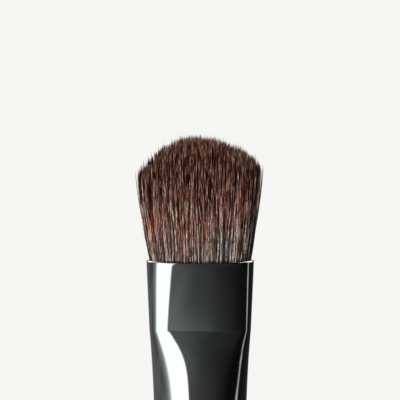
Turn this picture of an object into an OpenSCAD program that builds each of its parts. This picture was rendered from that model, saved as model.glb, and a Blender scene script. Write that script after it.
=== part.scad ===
// Flat eyeshadow brush: a tuft of hair held in a pressed metal ferrule on a lacquered wooden handle.
// The origin is the centre of the handle's butt. +Z runs along the brush to the tips of the hair,
// and X runs across the wide side of the tuft.

/* [Overall] */
// Length of the handle that shows, from its butt to the lower edge of the ferrule
handle_length = 124; // [90:1:170]
// Length of the ferrule
ferrule_length = 32; // [29:1:45]
// Length of the hair that stands out of the ferrule
tuft_length = 12; // [9:0.5:16]

/* [Ferrule] */
// Outside diameter of the round barrel of the ferrule
barrel_d = 8.8; // [8.4:0.1:9.4]
// Wall of the tube
ferrule_wall = 0.25; // [0.2:0.01:0.35]
// Width of the pressed mouth
mouth_w = 10.25; // [9.8:0.05:11]
// Thickness of the pressed mouth
mouth_t = 6.6; // [6:0.1:7.4]
// Width at the foot of the pressed panel
panel_w = 9.65; // [9.2:0.05:9.8]
// Thickness at the foot of the pressed panel
panel_t = 5.2; // [4.8:0.1:6.4]
// Height of the pressed panel, from the mouth down to its crease
panel_length = 6.2; // [5:0.1:8]
// Height over which the tube runs out from the crease into the round
blend_length = 8.5; // [7:0.1:9.5]
// Number of crimp grooves that grip the handle
groove_count = 2; // [1:1:3]
// Depth of a crimp groove
groove_depth = 0.2; // [0.1:0.01:0.3]
// Width of a crimp groove
groove_w = 1.2; // [0.8:0.1:1.4]
// Distance from one crimp groove to the next
groove_pitch = 1.9; // [1.6:0.1:2.4]
// Distance from the lower edge of the ferrule to the first groove's middle
groove_start = 2; // [1.6:0.1:2.6]

/* [Hair] */
// Greatest width of the tuft
tuft_w = 12; // [11:0.1:13.5]
// Greatest thickness of the tuft
tuft_t = 7; // [6.4:0.1:8]
// Height of the outermost tips at the two narrow sides
side_tip_height = 7.9; // [6:0.1:8.5]
// Height of the outermost tips on the broad front and back
front_tip_height = 5.4; // [4:0.1:7]
// Height above the mouth up to which the strands lie side by side
bend_height = 3.2; // [2:0.1:3.6]
// Rings of strands around the middle one
strand_rings = 9; // [8:1:9]
// Depth below the mouth at which the strands part from the bound mass
strand_start_depth = 0.6; // [0.3:0.1:1.2]
// Room left between the bound roots and the bore of the round barrel
bundle_gap = 0.7; // [0.6:0.05:0.9]
// Length of the root ends that reach into the round barrel
root_reach = 1.2; // [0.8:0.1:1.6]

/* [Binding and resin] */
// Diameter of the binding thread
thread_d = 0.3; // [0.2:0.05:0.35]
// Turns of the binding thread
thread_turns = 4; // [3:1:4]
// Distance from one turn to the next
thread_pitch = 0.5; // [0.45:0.05:0.55]
// Distance from the lowest turn's middle up from the top of the round barrel
thread_rise = 0.5; // [0.4:0.1:0.8]
// Depth by which the binding draws the bundle in
thread_pinch = 0.15; // [0.1:0.01:0.2]
// Thickness of the resin under the root ends
resin_base = 2; // [1.5:0.1:2.5]

/* [Handle] */
// Step from the outside of the ferrule in to the handle below it
neck_step = 0.15; // [0.05:0.05:0.4]
// How far the handle swells on each side from there to its belly
belly_swell = 0.1; // [0:0.05:0.15]
// Distance from the ferrule down to the greatest diameter
belly_drop = 22; // [15:1:40]
// Diameter of the handle just above its rounded butt
tail_d = 4.8; // [4:0.1:6]
// Height of the rounded butt
butt_height = 2.6; // [2:0.1:4]
// Diameter of the small flat on the butt
butt_flat_d = 1.6; // [1:0.1:2]
// Chamfer on the end of the tenon
tenon_chamfer = 0.5; // [0.3:0.1:0.8]
// Thickness of the glue round the tenon
glue_t = 0.1; // [0.06:0.01:0.15]

/* [Hidden] */
$fn = 96;

// Clearances
hair_gap = 0.05;
film_gap = 0.02;
thread_gap = 0.05;
tenon_relief = 1;
crimp_gap = 0.03;

// The heights that the pieces share
mouth_z = handle_length + ferrule_length;
round_depth = panel_length + blend_length;
round_z = mouth_z - round_depth;
root_z = round_z - root_reach;
resin_z = root_z - resin_base;
tenon_top_z = resin_z - tenon_relief;
thread_low_z = round_z + thread_rise;
thread_high_z = thread_low_z + thread_turns * thread_pitch;

// The radii that the pieces share
barrel_r = barrel_d / 2;
bore_r = barrel_r - ferrule_wall;
tenon_r = bore_r - glue_t - 2 * film_gap;
bundle_r = bore_r - bundle_gap;
waist_r = bundle_r - thread_pinch;
neck_r = barrel_r - neck_step;
belly_r = neck_r + belly_swell;
tail_r = tail_d / 2;

// Squareness of an outline: 2 is an ellipse, and more is nearer to a rectangle
round_square = 2;
mouth_square = 2.62;
panel_square = 3.22;
tuft_square = 2.3;
dome_square = 1.85;

// How fast the ferrule's width, thickness and squareness leave the crease for the round
width_ease = 1.6;
thickness_ease = 2;
square_ease = 5.5;

// Fineness of the surfaces
tube_points = 48;
panel_steps = 4;
blend_steps = 10;
lip_steps = 4;
groove_steps = 8;
thread_sides = 6;
thread_steps = 18;
taper_steps = 20;
belly_steps = 6;
butt_steps = 6;

function mix(from, to, share) = from + (to - from) * share;

// Fast at first and slower towards the end, from 0 to 1
function ease(share, power) = 1 - pow(1 - share, power);

// One coordinate of an outline of half-width 1, from the cosine or the sine of its angle
function lobe(value, square) = sign(value) * pow(abs(value), 2 / square);

// A size is [half-width, half-thickness, squareness]
function inset(size, amount) = [size[0] - amount, size[1] - amount, size[2]];

function ring(size, z, count) = [
    for (i = [0 : count - 1])
        let (angle = 360 * i / count)
        [size[0] * lobe(cos(angle), size[2]), size[1] * lobe(sin(angle), size[2]), z]
];

// Triangles between two rings, given the number of each ring's first point
function band(first, second, count) = [
    for (i = [0 : count - 1])
        let (next = (i + 1) % count)
        each [
            [first + i, second + i, second + next],
            [first + i, second + next, first + next]
        ]
];

// A skin over a row of rings: joined last to first as a tube wall, or capped as a solid
module loft(rings, joined = false) {
    count = len(rings[0]);
    last = (len(rings) - 1) * count;
    sides = [for (first = [0 : count : last - count]) each band(first, first + count, count)];
    ends = joined
        ? band(last, 0, count)
        : [
            for (i = [1 : count - 2])
                each [
                    [0, i, i + 1],
                    [last, last + i + 1, last + i]
                ]
        ];
    polyhedron([for (r = rings) each r], concat(sides, ends));
}

// Ferrule: a round barrel, drawn out into a flat mouth

// Size of the outside at a depth below the mouth
function ferrule_size(depth) =
    let (mouth = [mouth_w / 2, mouth_t / 2, mouth_square])
    let (panel = [panel_w / 2, panel_t / 2, panel_square])
    let (run = min(1, max(0, depth - panel_length) / blend_length))
    depth < panel_length
    ? mix(mouth, panel, depth / panel_length)
    : [
        mix(panel[0], barrel_r, ease(run, width_ease)),
        mix(panel[1], barrel_r, ease(run, thickness_ease)),
        mix(panel[2], round_square, ease(run, square_ease))
    ];

// Depths of the rings between the round and the mouth, closest together at the crease
crease_power = 1.5;
blend_depths = [
    for (k = [blend_steps - 1 : -1 : 1])
        panel_length + blend_length * pow(k / blend_steps, crease_power)
];
panel_depths = [for (k = [panel_steps : -1 : 1]) panel_length * k / panel_steps];
tube_depths = concat(blend_depths, panel_depths);

// The drawn tube's end is thinned, and runs into the middle of the barrel's wall
thin_share = 0.3;
start_share = 0.08;
tail_height = ferrule_wall;

function round_ring(radius, z) = ring([radius, radius, round_square], z, tube_points);

function wall_ring(depth, inward) = ring(inset(ferrule_size(depth), inward), mouth_z - depth, tube_points);

function tube_rings() = concat(
    [round_ring(barrel_r - ferrule_wall * thin_share, round_z - tail_height)],
    [round_ring(barrel_r - ferrule_wall * start_share, round_z + tail_height)],
    [for (depth = tube_depths) wall_ring(depth, 0)],
    [
        for (k = [0 : lip_steps])
            let (angle = 180 * k / lip_steps)
            wall_ring(ferrule_wall / 2 * (1 - sin(angle)), ferrule_wall / 2 * (1 - cos(angle)))
    ],
    [for (k = [len(tube_depths) - 1 : -1 : 0]) wall_ring(tube_depths[k], ferrule_wall)],
    [round_ring(bore_r + ferrule_wall * start_share, round_z + tail_height)],
    [round_ring(bore_r + ferrule_wall * thin_share, round_z - tail_height)]
);

// [depth, height] of points across the crimp grooves, from the lowest groove up
groove_points = [
    for (k = [0 : groove_count - 1])
        for (i = [0 : groove_steps])
            let (share = i / groove_steps)
            let (middle_z = handle_length + groove_start + k * groove_pitch)
            [groove_depth * (1 - cos(360 * share)) / 2, middle_z + groove_w * (share - 1 / 2)]
];
groove_top_z = groove_points[len(groove_points) - 1][1];

module barrel() {
    outside = [for (p = groove_points) [barrel_r - p[0], p[1]]];
    last = len(groove_points) - 1;
    inside = [for (k = [last : -1 : 0]) [bore_r - groove_points[k][0], groove_points[k][1]]];
    rotate_extrude()
        polygon(concat(
            [[bore_r, handle_length], [barrel_r, handle_length]],
            outside,
            [[barrel_r, round_z], [bore_r, round_z]],
            inside
        ));
}

module ferrule() {
    color([0.2, 0.21, 0.2])
    union() {
        barrel();
        loft(tube_rings(), joined = true);
    }
}

// Hair tuft: strands that rise from the top of the bound roots, one from each cell of a
// triangular lattice. A lattice point [q, r] is q steps along 0 degrees and r along 60 degrees.

// How far the tuft has spread at the bend, and how much of its cell a strand fills there
bend_spread_share = 0.5;
bend_fill_share = 0.92;
// The same at a share of the strand's length
upper_length_share = 0.86;
upper_spread_share = 0.9;
upper_fill_share = 0.64;
// The most that a tip falls short of its height, and that it leans within its cell
short_share = 0.05;
lean_share = 0.35;
golden_share = (sqrt(5) - 1) / 2;

function in_lattice(p) = max(abs(p[0]), abs(p[1]), abs(p[0] + p[1])) <= strand_rings;

function row_low(r) = max(-strand_rings, -strand_rings - r);

function row_high(r) = min(strand_rings, strand_rings - r);

lattice = [for (r = [-strand_rings : strand_rings]) for (q = [row_low(r) : row_high(r)]) [q, r]];

// Number of the first point in each row
row_starts = [
    for (
        r = -strand_rings, start = 0;
        r <= strand_rings;
        start = start + row_high(r) - row_low(r) + 1, r = r + 1
    )
        start
];

function lattice_number(p) = row_starts[p[1] + strand_rings] + p[0] - row_low(p[1]);

cells = [
    for (p = lattice)
        for (step = [1, -1])
            if (in_lattice(p + [step, 0]) && in_lattice(p + [0, step]))
                [p, p + [step, 0], p + [0, step]]
];

corners = strand_rings * [[1, 0], [0, 1], [-1, 1], [-1, 0], [0, -1], [1, -1]];
rim_count = 6 * strand_rings;

// Lattice numbers round the rim
rim = [
    for (k = [0 : 5])
        for (i = [0 : strand_rings - 1])
            lattice_number(mix(corners[k], corners[(k + 1) % 6], i / strand_rings))
];

// A lattice point as [share of the radius, angle], with each hexagon opened out into a circle
function polar(p) =
    let (turn = atan2(p[1] * sin(60), p[0] + p[1] * cos(60)))
    let (sector = floor(turn / 60))
    let (along = 1 / 2 + sin(60) * tan(turn - 60 * sector - 30))
    [max(abs(p[0]), abs(p[1]), abs(p[0] + p[1])) / strand_rings, 60 * (sector + along)];

function place(spot, size) =
    let (square = mix(round_square, size[2], spot[0]))
    spot[0] * [size[0] * lobe(cos(spot[1]), square), size[1] * lobe(sin(spot[1]), square)];

// The middle of an outermost cell, as a share of the way out to the rim
outer_cell_share = 1 - 1 / (3 * strand_rings);
start_z = mouth_z - strand_start_depth;
start_size = inset(ferrule_size(strand_start_depth), ferrule_wall + hair_gap);
tip_size = [tuft_w / 2 / outer_cell_share, tuft_t / 2 / outer_cell_share, tuft_square];

// Height above the mouth of the dome of tips over a place
function tip_height(at) =
    let (across = pow(2 * abs(at[0]) / tuft_w, tuft_square))
    let (through = pow(2 * abs(at[1]) / tuft_t, tuft_square))
    let (out = min(1, pow(across + through, 1 / tuft_square)))
    let (edge = mix(front_tip_height, side_tip_height, across / (across + through)))
    mix(edge, tuft_length, pow(1 - pow(out, dome_square), 1 / dome_square));

function middle(points) = (points[0] + points[1] + points[2]) / 3;

// The corners of a strand at a height, where it fills a share of its cell
function strand_section(spots, z, spread_share, fill_share) =
    let (points = [for (spot = spots) place(spot, mix(start_size, tip_size, spread_share))])
    [for (point = points) [each mix(middle(points), point, fill_share), z]];

// The tip of a strand, where two chances lean it and one shortens it
function strand_tip(points, tip_z, chance) =
    let (centre = middle(points))
    let (lean = chance[0] * (points[0] - centre) + chance[1] * (points[1] - centre))
    [each centre + lean_share * lean, mix(start_z, tip_z, 1 - short_share * abs(chance[2]))];

// A chance from -1 to 1 for each whole number: the squares times the golden ratio, without their whole turns
function chance(number) =
    let (turns = number * number * golden_share)
    2 * (turns - floor(turns)) - 1;

// The points of one strand above its cell: its sections, and then its tip
function strand_points(k) =
    let (spots = [for (p = cells[k]) polar(p)])
    let (tips = [for (spot = spots) place(spot, tip_size)])
    let (tip_z = mouth_z + tip_height(middle(tips)))
    let (upper_z = mix(start_z, tip_z, upper_length_share))
    concat(
        strand_section(spots, mouth_z + bend_height, bend_spread_share, bend_fill_share),
        strand_section(spots, upper_z, upper_spread_share, upper_fill_share),
        [strand_tip(tips, tip_z, [for (i = [0 : 2]) chance(3 * k + i)])]
    );

// The triangles of one strand, given its cell's corners and the number of its own first point.
// The foot of each side is split on the same diagonal as its neighbour's, so that they don't cross.
function strand_faces(base, first) = [
    for (e = [0 : 2])
        let (n = (e + 1) % 3)
        let (rising = base[e] < base[n])
        each [
            [base[e], first + e, rising ? first + n : base[n]],
            [rising ? base[e] : first + e, first + n, base[n]],
            [first + e, first + 3 + e, first + 3 + n],
            [first + e, first + 3 + n, first + n],
            [first + 3 + e, first + 6, first + 3 + n]
        ]
];

// The bound roots, from the foot of the flat panel down: [size, height]
foot_size = inset(ferrule_size(panel_length), ferrule_wall + hair_gap);
foot_z = mouth_z - panel_length;
waist_size = [waist_r, waist_r, round_square];
waist_high_z = thread_high_z + thread_d;
waist_low_z = thread_low_z - thread_d;
bundle_size = [bundle_r, bundle_r, round_square];
root_steps = 3;
root_stations = concat(
    [
        for (k = [0 : root_steps])
            [mix(foot_size, waist_size, k / root_steps), mix(foot_z, waist_high_z, k / root_steps)]
    ],
    [[waist_size, waist_low_z], [bundle_size, waist_low_z - thread_d], [bundle_size, root_z]]
);

module hair_tuft() {
    lattice_points = [for (p = lattice) [each place(polar(p), start_size), start_z]];
    root_rings = [for (s = root_stations) ring(s[0], s[1], rim_count)];
    root_first = len(lattice);
    root_last = root_first + (len(root_rings) - 1) * rim_count;
    strand_first = root_last + rim_count;
    strand_point_count = 7;
    shoulder_faces = [
        for (i = [0 : rim_count - 1])
            let (next = (i + 1) % rim_count)
            each [
                [root_first + i, rim[i], rim[next]],
                [root_first + i, rim[next], root_first + next]
            ]
    ];
    root_faces = [
        for (first = [root_first : rim_count : root_last - rim_count])
            each band(first + rim_count, first, rim_count)
    ];
    root_end = [for (i = [1 : rim_count - 2]) root_last * [1, 1, 1] + [0, i, i + 1]];
    strands = [
        for (k = [0 : len(cells) - 1])
            let (base = [for (p = cells[k]) lattice_number(p)])
            each strand_faces(base, strand_first + strand_point_count * k)
    ];
    color([0.25, 0.14, 0.1])
    polyhedron(
        concat(
            lattice_points,
            [for (r = root_rings) each r],
            [for (k = [0 : len(cells) - 1]) each strand_points(k)]
        ),
        concat(shoulder_faces, root_faces, root_end, strands)
    );
}

// Binding thread: one helix round the waist of the bundle
module binding_thread() {
    helix_r = waist_r + thread_gap + thread_d / 2;
    rings = [
        for (k = [0 : thread_turns * thread_steps])
            let (turn = 360 * k / thread_steps)
            let (z = thread_low_z + thread_pitch * k / thread_steps)
            [
                for (i = [0 : thread_sides - 1])
                    let (angle = -360 * i / thread_sides)
                    let (out = helix_r + thread_d / 2 * cos(angle))
                    [out * cos(turn), out * sin(turn), z + thread_d / 2 * sin(angle)]
            ]
    ];
    color([0.85, 0.82, 0.74])
    loft(rings);
}

// Resin plug: a cup that sets round the root ends and closes the barrel below them
module resin_plug() {
    outer_r = bore_r - film_gap;
    pocket_r = bundle_r + hair_gap;
    rim_z = round_z - film_gap;
    pocket_z = root_z - film_gap;
    color([0.72, 0.58, 0.3])
    rotate_extrude()
        polygon([
            [0, resin_z],
            [outer_r, resin_z],
            [outer_r, rim_z],
            [pocket_r, rim_z],
            [pocket_r, pocket_z],
            [0, pocket_z]
        ]);
}

// Glue: a thin sleeve between the tenon and the barrel, above the crimps
module tenon_glue() {
    color([0.8, 0.77, 0.66])
    rotate_extrude()
        translate([tenon_r + film_gap, groove_top_z])
        square([glue_t, tenon_top_z - tenon_chamfer - groove_top_z]);
}

// Handle: a turned wooden stick with a rounded butt, a slight belly and a tenon

belly_z = handle_length - belly_drop;

butt_points = [
    for (k = [0 : butt_steps])
        let (angle = 90 * k / butt_steps)
        [mix(butt_flat_d / 2, tail_r, sin(angle)), butt_height * (1 - cos(angle))]
];
taper_points = [
    for (k = [1 : taper_steps])
        let (share = k / taper_steps)
        [mix(tail_r, belly_r, sin(90 * share)), mix(butt_height, belly_z, share)]
];
belly_points = [
    for (k = [1 : belly_steps])
        let (share = k / belly_steps)
        [mix(neck_r, belly_r, cos(90 * share)), mix(belly_z, handle_length, share)]
];
// The tenon is grooved where the ferrule is crimped into it
tenon_points = [for (p = groove_points) [min(tenon_r, bore_r - p[0] - crimp_gap), p[1]]];

module handle() {
    color([0.04, 0.04, 0.04])
    rotate_extrude()
        polygon(concat(
            [[0, 0]],
            butt_points,
            taper_points,
            belly_points,
            [[tenon_r, handle_length]],
            tenon_points,
            [
                [tenon_r, tenon_top_z - tenon_chamfer],
                [tenon_r - tenon_chamfer, tenon_top_z],
                [0, tenon_top_z]
            ]
        ));
}

handle();
ferrule();
hair_tuft();
binding_thread();
resin_plug();
tenon_glue();
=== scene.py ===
import math

import bpy
import numpy as np
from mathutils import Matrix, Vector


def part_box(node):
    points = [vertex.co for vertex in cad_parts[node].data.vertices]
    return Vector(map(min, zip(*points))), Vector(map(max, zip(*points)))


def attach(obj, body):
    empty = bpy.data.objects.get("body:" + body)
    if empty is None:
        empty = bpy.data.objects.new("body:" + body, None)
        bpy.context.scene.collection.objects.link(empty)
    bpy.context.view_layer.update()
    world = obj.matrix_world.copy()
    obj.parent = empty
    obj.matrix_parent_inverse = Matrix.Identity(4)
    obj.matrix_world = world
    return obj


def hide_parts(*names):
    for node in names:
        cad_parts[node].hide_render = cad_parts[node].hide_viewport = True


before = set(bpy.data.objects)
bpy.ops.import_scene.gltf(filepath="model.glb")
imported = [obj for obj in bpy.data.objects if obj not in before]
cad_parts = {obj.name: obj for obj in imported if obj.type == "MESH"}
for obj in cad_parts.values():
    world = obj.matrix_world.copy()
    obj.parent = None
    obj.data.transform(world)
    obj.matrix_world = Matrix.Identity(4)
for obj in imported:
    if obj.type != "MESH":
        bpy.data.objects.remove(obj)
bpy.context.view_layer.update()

MM = 0.001

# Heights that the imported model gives
MOUTH_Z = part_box("ferrule")[1].z
SHOULDER_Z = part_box("ferrule")[0].z
TENON_TOP_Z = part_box("handle")[1].z

# Ferrule, as in the part: a round barrel drawn out into a flat mouth. Each outline has a half-width, a
# half-thickness and a squareness, which is 2 for an ellipse and more for a rounded rectangle
WALL = 0.25 * MM
ROUND = 2.0
BARREL_R = 4.4 * MM
MOUTH_SIZE = np.array([5.125 * MM, 3.3 * MM, 2.62])
PANEL_SIZE = np.array([4.825 * MM, 2.6 * MM, 3.22])
BARREL_SIZE = np.array([BARREL_R, BARREL_R, ROUND])
BLEND_POWERS = np.array([1.6, 2.0, 5.5])
GROOVE_HEIGHTS = (2.0 * MM, 3.9 * MM)
GROOVE_W = 1.2 * MM
GROOVE_DEPTH = 0.2 * MM
# The crease lies a little lower than in the part, where the photograph has it
PANEL_LENGTH = 6.45 * MM
BLEND_LENGTH = 8.3 * MM
# The crease is rounded: there the outline is a mean over this height up and down. That height shrinks to
# nothing at so many times its length from the crease, and the mean is taken in so many steps
CREASE_ROUNDING = 0.07 * MM
CREASE_REACH = 3
CREASE_STEPS = 8
# How far the rolled lip reaches inward and down
LIP_IN = 0.19 * MM
LIP_DOWN = 0.2 * MM
# Pressing the mouth flat has drawn its corners up a little, over this depth
CORNER_RISE = 0.21 * MM
CORNER_POWER = 4
RISE_DEPTH = 1.5 * MM

# How finely the ferrule is made: points round it, and its rings from the lower edge up to the lip
FERRULE_POINTS = 256
GROOVE_RINGS = 60
BARREL_RINGS = 20
BLEND_RINGS = 39
CREASE_RINGS = 21
PANEL_RINGS = 18
# Heights above the lower edge where the rings over the grooves end and those of the plain barrel begin
GROOVES_END = 5.0 * MM
BARREL_START = 5.2 * MM
# The rings lie closest together within so many times the rounding above and below the crease, and those of
# the blend draw nearer to one another towards it
CREASE_RINGS_REACH = 2
BLEND_RING_POWER = 1.5
LIP_STEPS = 10
INNER_LIP_STEPS = 4
LOWER_EDGE_STEPS = 8

# Handle, as in the part but for the crimp seats in its tenon, which the ferrule hides
NECK_R = 4.25 * MM
BELLY_R = 4.35 * MM
BELLY_DROP = 22.0 * MM
TAIL_R = 2.4 * MM
BUTT_HEIGHT = 2.6 * MM
BUTT_FLAT_R = 0.8 * MM
TENON_R = 4.01 * MM
TENON_CHAMFER = 0.5 * MM
# How finely it is made: points round it, and steps over the butt, up to the belly and on to the neck
HANDLE_POINTS = 128
BUTT_STEPS = 16
TAPER_STEPS = 60
BELLY_STEPS = 24

# Hair, as in the part
HAIR_GAP = 0.05 * MM
TUFT_LENGTH = 12.0 * MM
TUFT_W = 12.0 * MM
TUFT_T = 7.0 * MM
SIDE_TIP_HEIGHT = 7.9 * MM
FRONT_TIP_HEIGHT = 5.4 * MM
TUFT_SQUARE = 2.3
DOME_SQUARE = 1.85


def mix(start, end, share):
    return start + (end - start) * share


def smooth_step(low, high, value):
    share = np.clip((value - low) / (high - low), 0, 1)
    return share * share * (3 - 2 * share)


def lobe(value, square):
    """A superellipse's coordinate from the cosine or sine of its turn."""
    return np.sign(value) * np.abs(value) ** (2 / square)


# Meshes


def make_piece(name, vertices, faces, material, replaced=None):
    """A smooth mesh that stands for a node of the part, or for none where it belongs to the set."""
    mesh = bpy.data.meshes.new(name)
    mesh.from_pydata(vertices, [], faces)
    mesh.validate()
    mesh.polygons.foreach_set("use_smooth", [True] * len(mesh.polygons))
    mesh.materials.append(material)
    piece = bpy.data.objects.new(name, mesh)
    bpy.context.scene.collection.objects.link(piece)
    if replaced:
        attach(piece, "root")
        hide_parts(replaced)
    return piece


def ring_faces(rings, count, joined=False):
    """Quads between neighbouring rings of count points each, and from the last to the first if joined."""
    last = rings if joined else rings - 1
    faces = []
    for k in range(last):
        low, high = k * count, (k + 1) % rings * count
        for i in range(count):
            j = (i + 1) % count
            faces.append((low + i, low + j, high + j, high + i))
    return faces


# Materials

NICKEL_TINTS = ((0.275, 0.3, 0.288), (0.295, 0.32, 0.308))
NICKEL_ROUGHNESS = (0.03, 0.09)
LACQUER_TINTS = ((0.008, 0.008, 0.009), (0.018, 0.017, 0.017))
LACQUER_ROUGHNESS = (0.12, 0.22)
INNER_ROUGHNESS_SPREAD = 0.08
# How far the dapples and the finer specks darken a hair along its length
DAPPLE_TINT = (0.3, 0.27, 0.26)
SPECK_TINT = (0.4, 0.38, 0.37)
HAIR_ROUGHNESS = (0.32, 0.48)
HAIR_SHEEN_TINT = (1.0, 0.72, 0.55, 1.0)
WHITE = (1.0, 1.0, 1.0)


class Nodes:
    """A short way to build one material's nodes."""

    def __init__(self, name):
        self.material = bpy.data.materials.new(name)
        self.material.use_nodes = True
        self.tree = self.material.node_tree
        self.shader = self.tree.nodes["Principled BSDF"]

    def add(self, kind, inputs=None, **settings):
        node = self.tree.nodes.new("ShaderNode" + kind)
        for key, value in settings.items():
            setattr(node, key, value)
        for key, value in (inputs or {}).items():
            self.put(node.inputs[key], value)
        return node

    def put(self, socket, value):
        if isinstance(value, bpy.types.NodeSocket):
            self.tree.links.new(value, socket)
        else:
            socket.default_value = value

    def look(self, inputs):
        """Sets or links the shader's own inputs."""
        for key, value in inputs.items():
            self.put(self.shader.inputs[key], value)

    def show(self, surface):
        """Makes this the material's surface instead of the plain shader."""
        self.tree.links.new(surface.outputs[0], self.tree.nodes["Material Output"].inputs["Surface"])

    def noise(self, scale, detail=4.0, stretch=(1, 1, 1)):
        place = self.add("TexCoord").outputs["Object"]
        mapping = self.add("Mapping", {"Vector": place, "Scale": stretch})
        noise = self.add("TexNoise", {"Vector": mapping.outputs[0], "Scale": scale, "Detail": detail})
        return noise.outputs["Fac"]

    def ramp(self, value, stops):
        node = self.add("ValToRGB", {"Fac": value})
        elements = node.color_ramp.elements
        while len(elements) < len(stops):
            elements.new(0.5)
        for element, (place, colour) in zip(elements, stops):
            element.position = place
            element.color = (*colour, 1)
        return node.outputs["Color"]

    def span(self, value, low, high, start=0.0, end=1.0):
        inputs = {"Value": value, "From Min": start, "From Max": end, "To Min": low, "To Max": high}
        return self.add("MapRange", inputs).outputs["Result"]

    def calculate(self, operation, *values):
        return self.add("Math", dict(enumerate(values)), operation=operation).outputs[0]

    def mix_colour(self, share, first, second, blend="MIX"):
        node = self.add("Mix", data_type="RGBA", blend_type=blend)
        self.put(node.inputs["Factor"], share)
        self.put(node.inputs[6], first)
        self.put(node.inputs[7], second)
        return node.outputs[2]

    def bump(self, height, strength, distance):
        inputs = {"Height": height, "Strength": strength, "Distance": distance}
        return self.add("Bump", inputs).outputs["Normal"]


def black_nickel():
    nodes = Nodes("black_nickel")
    cloud = nodes.noise(scale=300.0, detail=3.0)
    drawn = nodes.noise(scale=900.0, stretch=(1, 1, 0.02))
    nodes.look({
        "Base Color": nodes.ramp(cloud, [(0.3, NICKEL_TINTS[0]), (0.7, NICKEL_TINTS[1])]),
        "Metallic": 1.0,
        "Roughness": nodes.span(drawn, *NICKEL_ROUGHNESS),
        "Normal": nodes.bump(drawn, strength=0.04, distance=0.02 * MM),
    })
    return nodes.material


def lacquered_wood():
    nodes = Nodes("lacquered_wood")
    grain = nodes.noise(scale=400.0, detail=5.0, stretch=(1, 1, 0.03))
    peel = nodes.noise(scale=700.0, detail=2.0)
    nodes.look({
        "Base Color": nodes.ramp(grain, [(0.3, LACQUER_TINTS[0]), (0.75, LACQUER_TINTS[1])]),
        "Roughness": nodes.span(peel, *LACQUER_ROUGHNESS),
        "Coat Weight": 0.6,
        "Coat Roughness": 0.04,
        "Normal": nodes.bump(peel, strength=0.08, distance=0.05 * MM),
    })
    return nodes.material


def plain_inner(name, dark, light, roughness, scale):
    """A material for one of the pieces inside the ferrule."""
    nodes = Nodes(name)
    spots = nodes.noise(scale)
    nodes.look({
        "Base Color": nodes.ramp(spots, [(0.3, dark), (0.7, light)]),
        "Roughness": nodes.span(spots, roughness - INNER_ROUGHNESS_SPREAD, roughness),
        "Normal": nodes.bump(spots, strength=0.2, distance=0.05 * MM),
    })
    return nodes.material


def waxed_thread():
    return plain_inner("waxed_thread", (0.6, 0.55, 0.45), (0.74, 0.7, 0.6), roughness=0.8, scale=3000.0)


def amber_resin():
    return plain_inner("amber_resin", (0.42, 0.28, 0.1), (0.55, 0.4, 0.17), roughness=0.3, scale=500.0)


def wood_glue():
    return plain_inner("wood_glue", (0.55, 0.5, 0.38), (0.66, 0.62, 0.5), roughness=0.6, scale=800.0)


def hair_material():
    """Takes each hair's colour, with its painted shade, from its points, and dapples it along its length.
    """
    nodes = Nodes("brown_hair")
    colour = nodes.add("Attribute", attribute_name="hair_colour").outputs["Color"]
    run = nodes.add("Attribute", attribute_name="hair_run").outputs["Vector"]
    streak = nodes.add("TexNoise", {"Vector": run, "Scale": 0.9, "Detail": 1.0}).outputs["Fac"]
    speck = nodes.add("TexNoise", {"Vector": run, "Scale": 3.6, "Detail": 2.0}).outputs["Fac"]
    dapple = nodes.ramp(streak, [(0.4, DAPPLE_TINT), (0.58, WHITE)])
    specks = nodes.ramp(speck, [(0.38, SPECK_TINT), (0.6, WHITE)])
    dappled = nodes.mix_colour(1.0, colour, dapple, "MULTIPLY")
    nodes.look({
        "Base Color": nodes.mix_colour(1.0, dappled, specks, "MULTIPLY"),
        "Roughness": nodes.span(streak, *HAIR_ROUGHNESS),
        "IOR": 1.4,
        "Specular IOR Level": 0.17,
        "Specular Tint": HAIR_SHEEN_TINT,
    })
    return nodes.material


# Ferrule


def sharp_size(depth):
    """The outline's size at a depth below the mouth, with a sharp crease."""
    if depth < PANEL_LENGTH:
        return mix(MOUTH_SIZE, PANEL_SIZE, depth / PANEL_LENGTH)
    run = min(1.0, (depth - PANEL_LENGTH) / BLEND_LENGTH)
    return mix(PANEL_SIZE, BARREL_SIZE, 1 - (1 - run) ** BLEND_POWERS)


def ferrule_size(depth):
    """The same with the crease rounded, as a weighted mean of the sizes just above and below."""
    nearness = 1 - abs(depth - PANEL_LENGTH) / (CREASE_REACH * CREASE_ROUNDING)
    reach = CREASE_ROUNDING * np.clip(nearness, 0, 1)
    offsets = np.linspace(-1, 1, CREASE_STEPS + 1)
    weights = 1 - offsets ** 2
    sizes = np.array([sharp_size(depth + reach * offset) for offset in offsets])
    return (sizes * weights[:, None]).sum(axis=0) / weights.sum()


def groove_dip(height):
    """Depth of the crimp grooves at a height above the ferrule's lower edge."""
    for middle in GROOVE_HEIGHTS:
        if abs(height - middle) < GROOVE_W / 2:
            return GROOVE_DEPTH * (1 + math.cos(2 * math.pi * (height - middle) / GROOVE_W)) / 2
    return 0.0


def ferrule_ring(depth, inward):
    """Points round the ferrule at a depth below the mouth, some way in from its outside."""
    half_w, half_t, square = ferrule_size(depth)
    inward = inward + groove_dip(MOUTH_Z - depth - SHOULDER_Z)
    turns = np.linspace(0, 2 * math.pi, FERRULE_POINTS, endpoint=False)
    x = (half_w - inward) * lobe(np.cos(turns), square)
    y = (half_t - inward) * lobe(np.sin(turns), square)
    rise = CORNER_RISE * (1 - smooth_step(0, RISE_DEPTH, depth)) * (x / half_w) ** CORNER_POWER
    return np.column_stack([x, y, MOUTH_Z - depth + rise])


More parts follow.
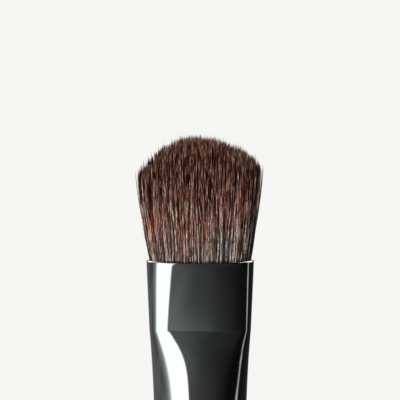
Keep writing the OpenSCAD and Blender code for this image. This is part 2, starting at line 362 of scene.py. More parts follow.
def ferrule_depths():
    """Depths of the rings along the outside, from the rounded lower edge up to the rolled lip."""
    length = MOUTH_Z - SHOULDER_Z
    bend = CREASE_RINGS_REACH * CREASE_ROUNDING
    blend_shares = np.linspace(1, 0, BLEND_RINGS + 2)[1:-1] ** BLEND_RING_POWER
    return np.concatenate([
        np.linspace(length - WALL / 2, length - GROOVES_END, GROOVE_RINGS),
        np.linspace(length - BARREL_START, PANEL_LENGTH + BLEND_LENGTH, BARREL_RINGS),
        PANEL_LENGTH + bend + (BLEND_LENGTH - bend) * blend_shares,
        np.linspace(PANEL_LENGTH + bend, PANEL_LENGTH - bend, CREASE_RINGS),
        np.linspace(PANEL_LENGTH - bend, LIP_DOWN, PANEL_RINGS + 2)[1:-1],
    ])


def ferrule_shell(material):
    """The open tube: up its outside, over the lip, down its bore and round its lower edge."""
    length = MOUTH_Z - SHOULDER_Z
    depths = ferrule_depths()
    inner_in = WALL - LIP_IN
    half_wall = WALL / 2
    lip = np.linspace(0, math.pi / 2, LIP_STEPS + 1)
    inner_lip = np.linspace(0, math.pi / 2, INNER_LIP_STEPS + 1)[1:]
    lower_edge = np.linspace(0, math.pi, LOWER_EDGE_STEPS + 1)
    places = [(depth, 0) for depth in depths]
    places += [(LIP_DOWN * (1 - math.sin(a)), LIP_IN * (1 - math.cos(a))) for a in lip]
    places += [(inner_in * (1 - math.cos(a)), LIP_IN + inner_in * math.sin(a)) for a in inner_lip]
    places += [(depth, WALL) for depth in depths[::-1]]
    places += [
        (length - half_wall * (1 - math.sin(a)), half_wall * (1 + math.cos(a)))
        for a in lower_edge
    ]
    rings = [ferrule_ring(depth, inward) for depth, inward in places]
    faces = ring_faces(len(rings), FERRULE_POINTS, joined=True)
    make_piece("ferrule_tube", np.concatenate(rings), faces, material, "ferrule")


# Handle


def handle_profile():
    """(radius, height) points from the butt's flat up to the end of the tenon."""
    belly_z = SHOULDER_Z - BELLY_DROP
    quarter = math.pi / 2
    butt = [
        (mix(BUTT_FLAT_R, TAIL_R, math.sin(a)), BUTT_HEIGHT * (1 - math.cos(a)))
        for a in np.linspace(0, quarter, BUTT_STEPS + 1)
    ]
    taper = [
        (mix(TAIL_R, BELLY_R, math.sin(quarter * s)), mix(BUTT_HEIGHT, belly_z, s))
        for s in np.linspace(0, 1, TAPER_STEPS + 1)[1:]
    ]
    belly = [
        (mix(NECK_R, BELLY_R, math.cos(quarter * s)), mix(belly_z, SHOULDER_Z, s))
        for s in np.linspace(0, 1, BELLY_STEPS + 1)[1:]
    ]
    tenon = [
        (TENON_R, SHOULDER_Z),
        (TENON_R, TENON_TOP_Z - TENON_CHAMFER),
        (TENON_R - TENON_CHAMFER, TENON_TOP_Z),
    ]
    return butt + taper + belly + tenon


def turned_handle(material):
    profile = handle_profile()
    turns = np.linspace(0, 2 * math.pi, HANDLE_POINTS, endpoint=False)
    vertices = [(r * math.cos(a), r * math.sin(a), z) for r, z in profile for a in turns]
    top = (len(profile) - 1) * HANDLE_POINTS
    faces = ring_faces(len(profile), HANDLE_POINTS)
    faces.append(tuple(reversed(range(HANDLE_POINTS))))
    faces.append(tuple(range(top, top + HANDLE_POINTS)))
    make_piece("turned_handle", vertices, faces, material, "handle")


# Form of the hair

HAIR_SEED = 5
HAIR_COUNT = 9400
HAIR_PIECES = 3
HAIR_SIDES = 3
# A hair's radius, and from which to which share of it the hairs differ
HAIR_R = 0.05 * MM
THICKNESS_SHARES = (0.7, 1.25)
# How far each spot is turned on from the one before, and how far the hairs and the middles of their locks
# stray from these even spots, as shares of the spacing
GOLDEN_TURN = math.pi * (3 - math.sqrt(5))
HAIR_JITTER = 0.45
LOCK_JITTER = 0.3
# Depth of the roots below the mouth, and the tuft's width there as a share of that at the mouth
BURIED = 1.5 * MM
ROOT_WIDTH_SHARE = 0.985
# Shares of a hair's free length at which its rings stand, and how thick it is at its root and at these
RING_SHARES = np.array([0.015, 0.03, 0.14, 0.28, 0.42, 0.56, 0.7, 0.83, 0.94])
RING_WIDTHS = np.array([1.0, 1.0, 1.0, 1.0, 1.0, 1.0, 0.99, 0.96, 0.9, 0.72])
# The hairs gather into fine locks and into broader ones: count, pull, lean and loss of length
FINE_LOCKS = (1500, 0.5, 0.07 * MM, 0.45 * MM)
BROAD_LOCKS = (300, 0.14, 0.1 * MM, 0.14 * MM)
# How much of the pull a single hair takes, and between which shares of its free length the pull grows
PULL_SHARES = (0.5, 1.5)
FINE_RUN = (0.45, 1.0)
BROAD_RUN = (0.2, 1.0)
# Mostly the hairs near the sides fan out, to the left and to the right, and soon after the mouth
FAN_POWER = 2.6
FANS = (0.86, 0.74)
SPREAD_POWER = 1.8
# How far the tips wander: more in the few stray hairs, and less near the sides
WANDER = 0.2 * MM
STRAY_WANDER = 0.4 * MM
STRAY_SHARE = 0.04
WANDER_POWER = 1.6
SIDE_CALM = 0.5
SIDE_CALM_POWER = 6
# How far in mm a hair swings to the side on its way up, and how many radians of its wave it goes through
WAVE_SIZES = (0.01, 0.07)
WAVE_RUN = 5.5
# Extra height of the crest, how much lengths differ, and how many mm the tips stand higher or lower by
# their place across the half-width, from the left to the right
CREST = 0.34 * MM
LENGTH_SPREAD = 0.25 * MM
LOPSIDED = (
    [-1, -0.95, -0.86, -0.75, -0.67, -0.46, -0.3, 0, 0.14, 0.27, 0.41, 0.68, 0.83, 0.92, 1],
    [-0.3, -0.4, -0.48, -0.47, -0.31, -0.04, 0, 0, -0.05, -0.17, -0.2, -0.12, -0.01, 0.1, -0.15],
)


def disc_spots(count, jitter, rng):
    """Spots over a disc of radius 1, as share of the radius and angle: even but for a jitter."""
    number = np.arange(count)
    radius = np.sqrt((number + 0.5) / count)
    turn = number * GOLDEN_TURN
    spread = jitter / math.sqrt(count)
    x = radius * np.cos(turn) + rng.normal(0, spread, count)
    y = radius * np.sin(turn) + rng.normal(0, spread, count)
    radius = np.hypot(x, y)
    return np.minimum(radius, 1 - 0.5 / math.sqrt(count) * rng.random(count)), np.arctan2(y, x)


def on_section(radius, turn, size):
    """Places of such spots on a section of the tuft, round near its middle and squarer near its edge."""
    square = mix(ROUND, size[2], radius)
    return np.column_stack([
        radius * size[0] * lobe(np.cos(turn), square),
        radius * size[1] * lobe(np.sin(turn), square),
    ])


def tip_height(at):
    """Height of the dome of tips above the mouth over a place."""
    across = (2 * np.abs(at[:, 0]) / TUFT_W) ** TUFT_SQUARE
    through = (2 * np.abs(at[:, 1]) / TUFT_T) ** TUFT_SQUARE
    out = np.minimum(1, (across + through) ** (1 / TUFT_SQUARE))
    edge = mix(FRONT_TIP_HEIGHT, SIDE_TIP_HEIGHT, across / (across + through))
    return mix(edge, TUFT_LENGTH, (1 - out ** DOME_SQUARE) ** (1 / DOME_SQUARE))


def locks(ends, tips_size, settings, rng):
    """How a hair's tip is drawn to its lock's middle, what the lock loses in length, and its number."""
    count, pull, lean, loss = settings
    radius, turn = disc_spots(count, LOCK_JITTER, rng)
    middles = on_section(radius, turn, tips_size)
    gaps = ends[:, None, :] - middles[None, :, :]
    nearest = np.argmin((gaps ** 2).sum(axis=2), axis=1)
    pulls = pull * rng.uniform(*PULL_SHARES, len(ends))[:, None]
    leans = rng.normal(0, lean, (count, 2))
    drawn = (middles[nearest] - ends) * pulls + leans[nearest]
    return drawn, (rng.random(count) * loss)[nearest], nearest


def hair_paths(rng):
    """Points of all hairs from root to tip (hair, point, xyz), their locks and how far out they are."""
    radius, turn = disc_spots(HAIR_COUNT, HAIR_JITTER, rng)
    inward = WALL + HAIR_GAP + HAIR_R
    mouth = ferrule_size(0.0) - np.array([inward, inward, 0])
    tips_size = np.array([TUFT_W / 2, TUFT_T / 2, TUFT_SQUARE])
    start = on_section(radius, turn, mouth)
    end = on_section(radius, turn, tips_size)
    across = start[:, 0] / mouth[0]
    fan = np.where(across < 0, *FANS) * (TUFT_W / 2 - mouth[0])
    end[:, 0] = start[:, 0] + fan * np.sign(across) * np.abs(across) ** FAN_POWER
    fine, fine_loss, lock = locks(end, tips_size, FINE_LOCKS, rng)
    broad, broad_loss, _ = locks(end, tips_size, BROAD_LOCKS, rng)
    loss = fine_loss + broad_loss + np.abs(rng.normal(0, LENGTH_SPREAD, HAIR_COUNT))
    side = end[:, 0] / (TUFT_W / 2)
    length = tip_height(end) + CREST + np.interp(side, *LOPSIDED) * MM - loss

    stray = rng.random(HAIR_COUNT) < STRAY_SHARE
    wander = rng.normal(0, 1, (HAIR_COUNT, 2)) * np.where(stray, STRAY_WANDER, WANDER)[:, None]
    wander = wander * (1 - SIDE_CALM * np.abs(across) ** SIDE_CALM_POWER)[:, None]
    wave_turn = rng.uniform(0, 2 * math.pi, HAIR_COUNT)
    wave_phase = rng.uniform(0, 2 * math.pi, HAIR_COUNT)
    wave_size = rng.uniform(*WAVE_SIZES, HAIR_COUNT) * MM

    def at(share):
        """Where every hair is at a share of its free length."""
        plane = mix(start, end, 1 - (1 - share) ** SPREAD_POWER)
        plane = plane + fine * smooth_step(*FINE_RUN, share) + broad * smooth_step(*BROAD_RUN, share)
        plane = plane + wander * share ** WANDER_POWER
        swing = wave_size * share * np.sin(wave_phase + WAVE_RUN * share)
        plane = plane + np.column_stack([swing * np.cos(wave_turn), swing * np.sin(wave_turn)])
        return np.column_stack([plane, MOUTH_Z + length * share])

    root = np.column_stack([start * ROOT_WIDTH_SHARE, np.full(HAIR_COUNT, MOUTH_Z - BURIED)])
    points = np.stack([root] + [at(share) for share in RING_SHARES] + [at(1.0)], axis=1)
    return points, lock, radius


# Colour of the hair and its painted shade. Heights, places and depths are in mm here

# How many hairs there are of each colour, and that colour half-way up
HAIR_SHARES = np.array([0.34, 0.27, 0.2, 0.19])
HAIR_COLOURS = np.array([
    (0.035, 0.0078, 0.0033),
    (0.265, 0.132, 0.094),
    (0.86, 0.58, 0.475),
    (1.75, 1.37, 1.19),
])
# Share of the hairs that take their lock's colour
SAME_COLOUR = 0.06
# Where a hair is brighter, green and blue gain more than red does, so that its pale points are greyer and
# its dark ones redder
PALING = np.array([0.95, 1.12, 1.2])
# The greyest that a pale point may be, as shares of its red, before the patches tint it
PALE_TINT = np.array([1.0, 0.91, 0.84])
# How much brightness changes from hair to hair, and from point to point near the root and the tip
HAIR_SPREAD = 0.6
POINT_SPREAD = 0.5
TIP_SPREAD = 0.65
# Fine upright stripes that hairs behind one another share: how many there are across the tuft, on the way
# up and from front to back, how long and deep one is, how much it differs from its neighbours, and how
# strong they are by height
STRIPE_SEED = 11
STRIPES = 124
STRIPE_ROWS = 16
STRIPE_LAYERS = 8
STRIPE_RUN = 1.6
STRIPE_DEPTH = 1.1
STRIPE_CONTRAST = 1.0
STRIPE_SPREADS = ([0, 4, 6, 8], [0.95, 0.95, 0.8, 0.7])
# Height at which the tuft is as wide as it gets
WIDEST_UP = 8
# Patches of one even colour: middle across and up, half-width, half-height, strength, colour
PATCHES = [
    (-4.5, 5.0, 0.7, 2.2, 0.85, (0.5, 0.075, 0.075)),
    (-1.6, 6.4, 0.9, 0.9, 0.6, (0.5, 0.11, 0.1)),
    (2.1, 5.6, 0.6, 1.4, 0.9, (0.58, 0.14, 0.12)),
    (3.5, 5.4, 0.7, 1.5, 0.65, (0.56, 0.15, 0.15)),
    (0.6, 10.0, 2.6, 1.8, 0.6, (0.45, 0.16, 0.12)),
    (2.05, 1.3, 1.15, 1.7, 1.0, (0.3, 0.33, 0.29)),
]
# How much of a patch's strength a hair takes, from the least to the most
PATCH_TAKEN = (0.6, 1.0)
# Lighter and darker patches: middle across and up, half-width, half-height, how many times as bright
SHADED_PATCHES = [
    (-1.3, 11.2, 0.9, 0.8, 1.9),
    (3.6, 9.4, 0.9, 1.2, 0.62),
    (-2.5, 9.0, 0.5, 2.0, 0.55),
    (-1.4, 8.6, 0.5, 2.0, 1.4),
    (0.3, 7.6, 0.9, 0.6, 1.7),
    (-4.5, 6.8, 0.8, 1.0, 0.5),
    (1.4, 5.4, 1.3, 0.6, 1.6),
    (0.5, 2.8, 0.5, 2.2, 1.8),
    (5.1, 3.8, 0.5, 1.2, 0.5),
]
# The hair is greyer low down, up to a height, and darker and redder high up, between two heights
ROOT_GREY = 0.6
GREY_HEIGHT = 4.2
GREY_TINT = np.array([1.04, 1.0, 0.95])
TIP_TINT = np.array([0.56, 0.4, 0.33])
TINT_HEIGHTS = (3.4, 8.5)
# How bright the hairs are by their height
RISING_LEVELS = ([0, 3, 5, 7, 8.5, 10, 11, 12], [2.55, 2.85, 3.0, 1.75, 1.07, 1.13, 2.0, 3.7])
# How bright they are low down by their place across the half-width, and over which heights this fades out
LOWER_LEVELS = (
    [-0.9, -0.8, -0.62, -0.45, -0.27, -0.09, 0.09, 0.26, 0.44, 0.53, 0.62, 0.7, 0.8, 0.95],
    [1.7, 1.75, 2.05, 0.2, 3.5, 1.3, 3.6, 0.78, 0.48, 0.8, 1.5, 0.9, 0.65, 0.24],
)
LOWER_FADE = (2.5, 5.5)
# Painted shade inside the tuft: how dark a hair is between two depths under its tip, unless it is
# outermost
INNER_SHADE = 0.34
INNER_DEPTHS = (0.2, 2.0)
OUTERMOST_RADII = (0.94, 0.99)
# Painted shadow where the hairs leave the ferrule: how dark they are there, and up to which height by
# their place across the half-width. This fades out over the upper half of that height
ROOT_SHADE = 0.12
ROOT_HEIGHTS = ([0.1, 0.45, 0.7, 0.85], [0.18, 0.27, 0.27, 0.18])
# Painted shade on the left and the right edge, which turn away from the light: how dark they get, between
# which shares of the half-width, and how much of this is lost between two heights
EDGE_SHADES = (0.33, 0.16)
EDGE_STARTS = (0.7, 0.74)
EDGE_ENDS = (1.0, 0.86)
EDGE_LOSS = 0.5
EDGE_FADE = (5.0, 9.0)
# No hair is paler than this
PALEST = 0.95


def stripes(side, up, depth):
    """A brightness that hairs behind one another share, in upright stripes that change on the way up."""
    rng = np.random.default_rng(STRIPE_SEED)
    table = rng.normal(0, 1, (STRIPES + 1, STRIPE_ROWS, STRIPE_LAYERS))
    # A pale stripe mostly has dark ones beside it
    beside = (np.roll(table, 1, axis=0) + np.roll(table, -1, axis=0)) / 2
    table = (table - STRIPE_CONTRAST * beside) / math.sqrt(1 + STRIPE_CONTRAST ** 2 / 2)
    column = np.clip((side + 1) / 2 * STRIPES, 0, STRIPES).astype(int)
    rise = np.clip(up / STRIPE_RUN, 0, STRIPE_ROWS - 1.01)
    low = rise.astype(int)
    layer = np.clip(depth / STRIPE_DEPTH + STRIPE_LAYERS / 2, 0, STRIPE_LAYERS - 1).astype(int)
    return mix(table[column, low, layer], table[column, low + 1, layer], rise - low)


def patch_share(x, up, middle_x, middle_up, half_x, half_up):
    """How strongly a soft patch shows at each point, from 0 to 1."""
    return np.exp(-((x - middle_x) / half_x) ** 2 - ((up - middle_up) / half_up) ** 2)


def own_colours(points, lock, side, up, rng):
    """Colours that differ from hair to hair, and less so from point to point."""
    count, levels = points.shape[:2]
    lock_kind = rng.choice(len(HAIR_SHARES), lock.max() + 1, p=HAIR_SHARES)
    own_kind = rng.choice(len(HAIR_SHARES), count, p=HAIR_SHARES)
    kind = np.where(rng.random(count) < SAME_COLOUR, lock_kind[lock], own_kind)
    colour = HAIR_COLOURS[kind] * np.exp(rng.normal(0, HAIR_SPREAD, count)[:, None] * PALING)
    shared = stripes(side, up, points[:, :, 1] / MM)
    own = rng.normal(0, 1, (count, levels)) * np.linspace(POINT_SPREAD, TIP_SPREAD, levels)
    brighter = own + np.interp(up, *STRIPE_SPREADS) * shared
    colour = colour[:, None, :] * np.exp(brighter[:, :, None] * PALING)
    return np.minimum(colour, colour[:, :, :1] * PALE_TINT)


def tinted(colour, x, up, rng):
    """The same colours with the patches, greyer low down, and darker and redder high up."""
    taken = rng.uniform(*PATCH_TAKEN, len(colour))[:, None]
    for *shape, strength, even in PATCHES:
        share = patch_share(x, up, *shape) * taken * strength
        level = np.sqrt(colour.mean(axis=2, keepdims=True))
        colour = mix(colour, level * np.array(even), share[:, :, None])
    grey = ROOT_GREY * (1 - smooth_step(0.0, GREY_HEIGHT, up))[:, :, None]
    plain = colour.mean(axis=2, keepdims=True) * GREY_TINT
    colour = mix(colour, plain, grey)
    colour = colour * mix(np.ones(3), TIP_TINT, smooth_step(*TINT_HEIGHTS, up)[:, :, None])
    for *shape, times in SHADED_PATCHES:
        colour = colour * (times ** patch_share(x, up, *shape))[:, :, None]
    return colour


def hair_shade(side, up, under, radius):
    """How bright each point is by its place and depth, with painted shade inside the tuft, at the mouth
    and edges.
    """
    left = side < 0
    inside = smooth_step(*INNER_DEPTHS, under) * (1 - smooth_step(*OUTERMOST_RADII, radius))[:, None]
    edge = smooth_step(np.where(left, *EDGE_STARTS), np.where(left, *EDGE_ENDS), np.abs(side))
    edge = edge * (1 - EDGE_LOSS * smooth_step(*EDGE_FADE, up))
    foot = np.interp(side, *ROOT_HEIGHTS)
    shade = mix(1.0, INNER_SHADE, inside) * mix(ROOT_SHADE, 1.0, smooth_step(0.5 * foot, foot, up))
    shade = shade * mix(1.0, np.where(left, *EDGE_SHADES), edge)
    shade = shade * np.interp(up, *RISING_LEVELS)
    return shade * mix(np.interp(side, *LOWER_LEVELS), 1.0, smooth_step(*LOWER_FADE, up))


def hair_colours_and_shade(points, lock, radius, rng):
    """Linear colour of each hair at each of its points (hair, point, rgb), with its painted shade."""
    x = points[:, :, 0] / MM
    up = (points[:, :, 2] - MOUTH_Z) / MM
    under = (points[:, -1:, 2] - points[:, :, 2]) / MM
    side = x / (mix(MOUTH_SIZE[0], TUFT_W / 2, np.clip(up / WIDEST_UP, 0, 1)) / MM)
    colour = tinted(own_colours(points, lock, side, up, rng), x, up, rng)
    colour = colour * hair_shade(side, up, under, radius)[:, :, None]
    return colour * (PALEST / np.maximum(colour.max(axis=2, keepdims=True), PALEST))


# Pieces of hair

# How far apart neighbouring hairs lie in the noise that dapples them along their length
HAIR_STEP = 7.3
# Each hair has an upright cell of its own in the piece's bake map: how many cells are in a row, how much
# of its cell a hair takes across and up, and the margin beside and below it
BAKE_COLUMNS = 64
BAKE_SHARES = (0.8, 0.9)
BAKE_MARGINS = (0.1, 0.05)


def per_vertex(values):
    """What each hair has at its points, repeated for the vertices of its rings."""
    return np.concatenate([np.repeat(values[:, :-1], HAIR_SIDES, axis=1), values[:, -1:]], axis=1)


def mark_points(piece, points, colours):
    """Gives the vertices their colour with its painted shade, and their place in the noise that dapples
    the hairs.
    """
    rows = per_vertex(colours)
    rows = np.concatenate([rows, np.ones(rows.shape[:2] + (1,))], axis=2)
    attribute = piece.data.attributes.new("hair_colour", "FLOAT_COLOR", "POINT")
    attribute.data.foreach_set("color", rows.astype(np.float32).ravel())
    number = np.repeat(np.arange(len(points)) * HAIR_STEP, rows.shape[1])
    height = per_vertex(points[:, :, 2]).ravel() / MM
    places = np.column_stack([number, height * 0, height])
    run = piece.data.attributes.new("hair_run", "FLOAT_VECTOR", "POINT")
    run.data.foreach_set("vector", places.astype(np.float32).ravel())


def bake_map(piece, count, levels):
    """Lays every hair out flat in its own cell of the map for baking its colours."""
    rows = math.ceil(count / BAKE_COLUMNS)
    cell = np.arange(count)
    corner = np.column_stack([cell % BAKE_COLUMNS, cell // BAKE_COLUMNS])
    step = 1 / HAIR_SIDES
    lefts = np.arange(HAIR_SIDES) / HAIR_SIDES
    quads = np.array([
        [(left, k), (left + step, k), (left + step, k + 1), (left, k + 1)]
        for k in range(levels - 1)
        for left in lefts
    ])
    caps = np.array([
        [(left, levels - 1), (left + step, levels - 1), (left + step / 2, levels)]
        for left in lefts
    ])
    within = [shape.reshape(-1, 2) / (1, levels) * BAKE_SHARES + BAKE_MARGINS for shape in (quads, caps)]
    spots = [(corner[:, None, :] + part[None]).reshape(-1, 2) / (BAKE_COLUMNS, rows) for part in within]
    layer = piece.data.uv_layers.new(name="OFBake")
    layer.uv.foreach_set("vector", np.concatenate(spots).astype(np.float32).ravel())


def hair_piece(name, points, widths, colours, material):
    """One piece of many hairs, each a thin tube with a pointed end."""
    rings, tips = points[:, :-1], points[:, -1]
    count, levels = rings.shape[:2]
    turns = np.linspace(0, 2 * math.pi, HAIR_SIDES, endpoint=False)
    around = np.column_stack([np.cos(turns), np.sin(turns), np.zeros(HAIR_SIDES)])
    body = rings[:, :, None, :] + around[None, None] * widths[:, :, None, None]
    body = body.reshape(count, levels * HAIR_SIDES, 3)
    vertices = np.concatenate([body, tips[:, None, :]], axis=1).reshape(-1, 3)

    last, tip = (levels - 1) * HAIR_SIDES, levels * HAIR_SIDES
    cap = [(last + i, last + (i + 1) % HAIR_SIDES, tip) for i in range(HAIR_SIDES)]
    starts = (np.arange(count) * (tip + 1))[:, None, None]
    quads = (np.array(ring_faces(levels, HAIR_SIDES))[None] + starts).reshape(-1, 4)
    caps = (np.array(cap)[None] + starts).reshape(-1, 3)
    faces = quads.tolist() + caps.tolist()
    piece = make_piece(name, vertices, faces, material, "hair_tuft")
    mark_points(piece, points, colours)
    bake_map(piece, count, levels)


def hair_tuft(material):
    rng = np.random.default_rng(HAIR_SEED)
    points, lock, radius = hair_paths(rng)
    colours = hair_colours_and_shade(points, lock, radius, rng)
    thickness = rng.uniform(*THICKNESS_SHARES, HAIR_COUNT) * HAIR_R
    widths = thickness[:, None] * RING_WIDTHS[None]
    group = rng.integers(0, HAIR_PIECES, HAIR_COUNT)
    for number in range(HAIR_PIECES):
        own = group == number
        hair_piece(f"tuft_hairs_{number + 1}", points[own], widths[own], colours[own], material)


# Set

BACKGROUND = (0.92, 0.92, 0.905)
FILL = 0.35
FLOOR_R = 0.3
FLOOR_POINTS = 96
FLOOR_TINTS = ((0.82, 0.82, 0.805), (0.84, 0.84, 0.825))
# From which share of its radius the floor fades out, and how much light it gains where the camera sees it
FLOOR_FADE_SHARE = 0.35
FLOOR_LIFT = 0.36
# The soft lamp in front: degrees to the left of the camera, distance, height of its middle, degrees of
# tilt, size and level
LAMP_TURN = 9.0
LAMP_DISTANCE = 0.62
LAMP_Z = 0.36
LAMP_TILT = 18.0
LAMP_SIZE = 0.5
LAMP_LEVEL = 4.5
# The cards round the brush: distance, lower and upper edge, how many degrees they reach round to either
# side, and points on the way
CARDS_DISTANCE = 0.62
CARDS_LOW = -0.5
CARDS_HIGH = 1.4
CARDS_TURN = 171
CARDS_POINTS = 115
CEILING_LEVELS = (0.02, 0.03)
CARDS_DARK = 0.015


def thin_strip(start, end, level, after=CARDS_DARK):
    """Stops of a bright strip with dark on either side."""
    return [(start, CARDS_DARK), (start + 1, level), (end, level), (end + 1, after)]


# Levels that the laws of the cards share, from far round on the right to far round on the left
FAR_RIGHT = [(-171, 0.1), (-140, 0.03)]
LOW_RIGHT = FAR_RIGHT + thin_strip(-106, -96.5, 0.8) + [(-60, 0.015), (-45, 0.022)]
LEFT_EDGE = [(70.5, 3.5), (74.5, 1.5), (79, 0.8), (84, 0.5), (89, 0.38), (96, 0.24)]
FAR_LEFT = [(145, 0.2), (171, 0.3)]
# How bright the cards are by the degrees to the left of the camera, in laws from low down to high up
FOOT_LEVELS = LOW_RIGHT + [
    (-27, 0.04), (-16, 0.044), (-9, 0.052), (-4, 0.064), (-1.3, 0.092), (0, 0.11), (2.2, 0.16),
    (7.4, 0.215), (12, 0.28), (16.6, 0.335), (26.6, 0.38), (27.4, 3.5),
] + LEFT_EDGE + [(102, 0.2), (110, 0.22), (128, 0.25)] + FAR_LEFT
LOW_LEVELS = LOW_RIGHT + [
    (-24, 0.045), (-12, 0.065), (0, 0.115), (5, 0.185), (13, 0.3), (20, 0.36), (28.8, 0.4), (29.8, 3.5),
] + LEFT_EDGE + [(102, 0.17), (110, 0.17), (128, 0.25)] + FAR_LEFT
MIDDLE_LEVELS = FAR_RIGHT + thin_strip(-98.5, -90, 0.9) + [
    (-60, 0.015), (-45, 0.022), (-24, 0.045), (-12, 0.065), (0, 0.11), (5, 0.155), (13, 0.205),
    (28.9, 0.275), (29.7, 3.5),
] + LEFT_EDGE + [(102, 0.17), (110, 0.17), (128, 0.25)] + FAR_LEFT
SIDE_LEVELS = FAR_RIGHT + thin_strip(-101.5, -93.5, 1.1) + [
    (-60, 0.015), (-45, 0.03), (-24, 0.06), (-12, 0.085), (0, 0.11), (9, 0.145), (26.6, 0.245),
    (27.4, 3.5), (70.5, 3.5), (74.5, 1.5), (79, 0.8), (84, 0.54), (89, 0.42), (96, 0.28), (102, 0.25),
    (110, 0.26), (118, 0.28), (128, 0.26),
] + FAR_LEFT
BRUSH_LEVELS = FAR_RIGHT + thin_strip(-104, -97, 1.0, after=0.01) + [
    (-69, 0.01), (-51, 0.03), (-42, 0.042), (-35, 0.062), (-20, 0.088), (-5, 0.105), (9, 0.132),
    (24, 0.19), (26.2, 0.225), (27.0, 3.5), (69, 3.5), (74, 1.4), (79, 0.72), (84, 0.44), (89, 0.32),
    (96, 0.18), (102, 0.14), (110, 0.15), (118, 0.17), (128, 0.22),
] + FAR_LEFT
HIGH_LEVELS = FAR_RIGHT + thin_strip(-101, -94, 1.0, after=0.008) + [
    (-60, 0.004), (-45, 0.008), (-36, 0.015), (-31, 0.028), (-26, 0.05), (-20, 0.054), (-12, 0.075),
    (0, 0.114), (5, 0.14), (13, 0.198), (25.2, 0.265), (26.0, 3.5), (64, 3.5), (70, 1.5), (77, 0.7),
    (84, 0.44), (89, 0.34), (96, 0.24), (102, 0.2), (110, 0.22), (128, 0.25),
] + FAR_LEFT
CREASE_LEVELS = [
    (-171, 0.1), (-60, 0.004), (-36, 0.01), (-20, 0.03), (-12, 0.042), (-7, 0.046), (-3.5, 0.058),
    (-1.5, 0.074), (0, 0.089), (1, 0.109), (2, 0.128), (5, 0.146), (13, 0.208), (25.2, 0.28), (26.0, 3.5),
    (64, 3.5), (70, 1.5), (77, 0.7), (84, 0.44), (96, 0.24), (110, 0.22),
] + FAR_LEFT
# The heights in metres over which each law takes over from the one below it
CARD_LAWS = [
    (FOOT_LEVELS, None),
    (LOW_LEVELS, (-0.045, -0.033)),
    (MIDDLE_LEVELS, (-0.016, -0.002)),
    (SIDE_LEVELS, (0.048, 0.062)),
    (BRUSH_LEVELS, (0.079, 0.093)),
    (HIGH_LEVELS, (0.25, 0.42)),
    (CREASE_LEVELS, (0.49, 0.6)),
]
# How many times as bright they are by height in metres: brighter low down, and dark high up
HEIGHT_LEVELS = [
    (-0.14, 2.6), (-0.055, 2.4), (-0.051, 2.0), (-0.045, 1.5), (-0.039, 1.28), (-0.033, 1.06),
    (-0.022, 0.97), (0.0, 1.0), (0.5, 1.0), (0.64, 1.28), (0.82, 1.28), (0.92, 0.05),
]
# The ramps hold both kinds of levels as shares of these
CARD_SCALE = 4.0
HEIGHT_SCALE = 2.6
# A bright strip high up on both sides behind the brush: over which radians from the front it comes in and
# goes out, and over which heights it comes in
BACK_GLOW = 0.9
BACK_GLOW_START = (1.75, 2.0)
BACK_GLOW_END = (2.5, 2.7)
BACK_GLOW_HEIGHTS = (0.22, 0.28)


def key_lamp():
    """A big soft lamp in front, a little to the left, whose own image shows in no reflection."""
    data = bpy.data.lights.new("key_lamp", "AREA")
    data.shape = "SQUARE"
    data.size = LAMP_SIZE
    data.energy = LAMP_LEVEL * math.pi * LAMP_SIZE * LAMP_SIZE
    lamp = bpy.data.objects.new("key_lamp", data)
    turn = math.radians(LAMP_TURN)
    lamp.location = (-LAMP_DISTANCE * math.sin(turn), -LAMP_DISTANCE * math.cos(turn), LAMP_Z)
    lamp.rotation_euler = (math.pi / 2 - math.radians(LAMP_TILT), 0, -turn)
    lamp.visible_camera = False
    lamp.visible_glossy = False
    bpy.context.scene.collection.objects.link(lamp)


def card_material():
    """Light that follows the laws of the cards by its direction and height."""
    nodes = Nodes("studio_cards")
    place = nodes.add("TexCoord").outputs["Object"]
    split = nodes.add("SeparateXYZ", {0: place}).outputs
    left = nodes.calculate("MULTIPLY", split["X"], -1.0)
    front = nodes.calculate("MULTIPLY", split["Y"], -1.0)
    turn = nodes.calculate("ARCTAN2", left, front)
    share = nodes.span(turn, 0.0, 1.0, -math.pi, math.pi)
    for levels, heights in CARD_LAWS:
        stops = [((angle + 180) / 360, (value / CARD_SCALE,) * 3) for angle, value in levels]
        law = nodes.ramp(share, stops)
        if heights:
            law = nodes.mix_colour(nodes.span(split["Z"], 0.0, 1.0, *heights), level, law)
        level = law
    rise = nodes.span(split["Z"], 0.0, 1.0, CARDS_LOW, CARDS_HIGH)
    height = CARDS_HIGH - CARDS_LOW
    stops = [((z - CARDS_LOW) / height, (times / HEIGHT_SCALE,) * 3) for z, times in HEIGHT_LEVELS]
    glow = nodes.mix_colour(1.0, level, nodes.ramp(rise, stops), "MULTIPLY")
    either_side = nodes.calculate("ABSOLUTE", turn)
    lit = nodes.span(split["Z"], 0.0, 1.0, *BACK_GLOW_HEIGHTS)
    lit = nodes.calculate("MULTIPLY", lit, nodes.span(either_side, 0.0, 1.0, *BACK_GLOW_START))
    lit = nodes.calculate("MULTIPLY", lit, nodes.span(either_side, 1.0, 0.0, *BACK_GLOW_END))
    glow = nodes.mix_colour(lit, glow, (BACK_GLOW / HEIGHT_SCALE,) * 3 + (1,))
    nodes.show(nodes.add("Emission", {"Color": glow, "Strength": CARD_SCALE * HEIGHT_SCALE}))
    return nodes.material


def ceiling_material():
    nodes = Nodes("studio_ceiling")
    low, high = CEILING_LEVELS
    colour = nodes.ramp(nodes.noise(scale=3.0), [(0.3, (low,) * 3), (0.7, (high,) * 3)])
    nodes.show(nodes.add("Emission", {"Color": colour}))
    return nodes.material


def reflected_only(piece):
    """Puts a piece of the set where only reflections see it."""
    piece.visible_camera = False
    piece.visible_diffuse = False
    piece.visible_shadow = False


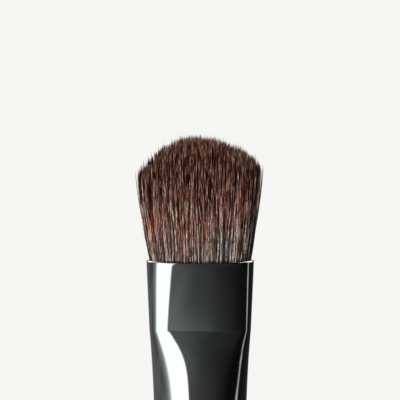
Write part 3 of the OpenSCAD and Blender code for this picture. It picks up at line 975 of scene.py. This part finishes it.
def studio_cards():
    """A ring of cards and a dark ceiling that only reflections see, open behind the brush."""
    turns = np.radians(np.linspace(-CARDS_TURN, CARDS_TURN, CARDS_POINTS))
    rim = [(-CARDS_DISTANCE * math.sin(t), -CARDS_DISTANCE * math.cos(t)) for t in turns]
    low = [(x, y, CARDS_LOW) for x, y in rim]
    high = [(x, y, CARDS_HIGH) for x, y in rim]
    count = len(rim)
    faces = [(i, i + 1, count + i + 1, count + i) for i in range(count - 1)]
    reflected_only(make_piece("studio_cards", low + high, faces, card_material()))
    reflected_only(make_piece("studio_ceiling", high, [tuple(range(count))], ceiling_material()))


def floor_material():
    """A pale floor that fades out into the background, lifted a little where the camera sees it."""
    nodes = Nodes("pale_floor")
    place = nodes.add("TexCoord").outputs["Object"]
    distance = nodes.add("VectorMath", {0: place}, operation="LENGTH").outputs["Value"]
    spots = nodes.noise(scale=40.0, detail=2.0)
    nodes.look({
        "Base Color": nodes.ramp(spots, [(0.3, FLOOR_TINTS[0]), (0.7, FLOOR_TINTS[1])]),
        "Roughness": 0.8,
    })
    seen = nodes.add("LightPath").outputs["Is Camera Ray"]
    extra = nodes.span(seen, 0.0, FLOOR_LIFT)
    lift = nodes.add("Emission", {"Color": (*BACKGROUND, 1), "Strength": extra})
    both = nodes.add("AddShader", {0: nodes.shader.outputs[0], 1: lift.outputs[0]})
    clear = nodes.add("BsdfTransparent")
    shown = nodes.span(distance, 1.0, 0.0, FLOOR_FADE_SHARE * FLOOR_R, FLOOR_R)
    nodes.show(nodes.add("MixShader", {0: shown, 1: clear.outputs[0], 2: both.outputs[0]}))
    return nodes.material


def floor():
    turns = np.linspace(0, 2 * math.pi, FLOOR_POINTS, endpoint=False)
    rim = [(FLOOR_R * math.cos(t), FLOOR_R * math.sin(t), 0) for t in turns]
    make_piece("floor", rim, [tuple(range(len(rim)))], floor_material())


def studio_world():
    """A pale background for camera, glossy and transmission rays, and an even fill for the rest."""
    world = bpy.data.worlds.new("studio")
    bpy.context.scene.world = world
    world.use_nodes = True
    tree = world.node_tree
    tree.nodes.clear()
    rays = tree.nodes.new("ShaderNodeLightPath")
    share = rays.outputs["Is Camera Ray"]
    for name in ("Is Glossy Ray", "Is Transmission Ray"):
        either = tree.nodes.new("ShaderNodeMath")
        either.operation = "ADD"
        either.use_clamp = True
        tree.links.new(share, either.inputs[0])
        tree.links.new(rays.outputs[name], either.inputs[1])
        share = either.outputs[0]
    blend = tree.nodes.new("ShaderNodeMixShader")
    tree.links.new(share, blend.inputs[0])
    for socket, colour in ((1, (FILL,) * 3), (2, BACKGROUND)):
        back = tree.nodes.new("ShaderNodeBackground")
        back.inputs["Color"].default_value = (*colour, 1)
        tree.links.new(back.outputs[0], blend.inputs[socket])
    output = tree.nodes.new("ShaderNodeOutputWorld")
    tree.links.new(blend.outputs[0], output.inputs[0])


# The photograph's frame, and what its pixels measure on the brush
PHOTO_SIZE = 400
TUFT_WIDTH_PIXELS = 126
MOUTH_PIXEL_Y = 261.3
MIDDLE_PIXEL_X = 200.2
PIXEL = TUFT_W / TUFT_WIDTH_PIXELS
# The camera's film and lens in mm, and how near it sees in metres
FILM_W = 36.0
LENS = 120.0
NEAR = 0.01


def camera():
    """Looks straight at the brush from in front, with the photograph's pixels at their size on it."""
    data = bpy.data.cameras.new("camera")
    data.sensor_width = FILM_W
    data.lens = LENS
    data.clip_start = NEAR
    cam = bpy.data.objects.new("camera", data)
    cam.location = (
        (PHOTO_SIZE / 2 - MIDDLE_PIXEL_X) * PIXEL,
        -PHOTO_SIZE * PIXEL * LENS / FILM_W,
        MOUTH_Z + (MOUTH_PIXEL_Y - PHOTO_SIZE / 2) * PIXEL,
    )
    cam.rotation_euler = (math.pi / 2, 0, 0)
    bpy.context.scene.collection.objects.link(cam)
    bpy.context.scene.camera = cam


camera()
bpy.context.scene.view_settings.view_transform = "Standard"
studio_world()
key_lamp()
studio_cards()
floor()

ferrule_shell(black_nickel())
turned_handle(lacquered_wood())
hair_tuft(hair_material())

# The pieces inside keep the part's own solids
inner = {
    "binding_thread": waxed_thread(),
    "resin_plug": amber_resin(),
    "tenon_glue": wood_glue(),
}
for name, material in inner.items():
    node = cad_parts[name]
    node.data.materials.clear()
    node.data.materials.append(material)
